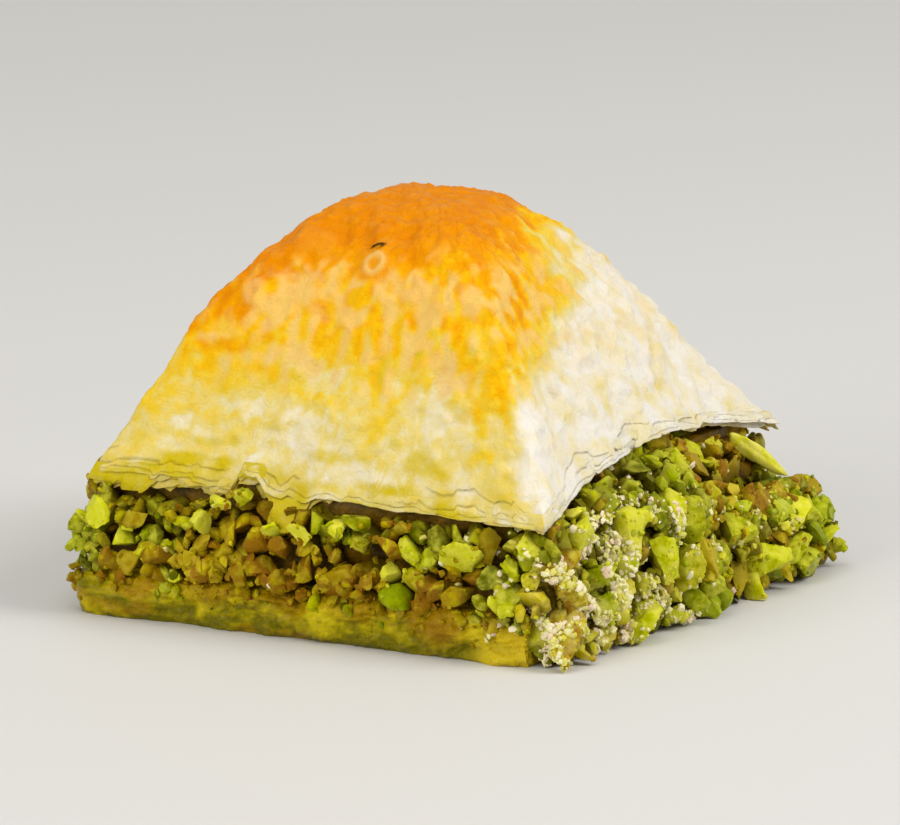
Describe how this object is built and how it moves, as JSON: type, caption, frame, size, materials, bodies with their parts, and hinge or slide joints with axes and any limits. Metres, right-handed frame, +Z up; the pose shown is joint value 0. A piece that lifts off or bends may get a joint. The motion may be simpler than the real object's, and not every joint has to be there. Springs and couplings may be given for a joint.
{
  "type": "baklava piece",
  "caption": "Square piece of baklava: soaked filo leaves, a layer of chopped pistachios that spills out on one side, and a golden puffed filo crust with pointed corners.",
  "frame": {"origin": "on the table, under the middle of the square base", "axes": "+Z up, through the crown; +X towards the side on which the nuts spill out; -Y towards the wide side seen in the picture"},
  "size_m": [0.0581, 0.0517, 0.037],
  "materials": {
    "filo_soaked": "olive-amber filo leaves soaked in syrup, moist and slightly translucent",
    "pistachio_green": "chopped pistachio, bright green to yellow-green, moist with syrup",
    "filo_golden": "buttered filo, orange-brown on the crown and pale cream towards its lower edge, satin"
  },
  "bodies": {
    "root": {"base_leaves": "filo_soaked", "pistachio_filling": "pistachio_green", "filo_crust": "filo_golden"}
  },
  "joints": []
}
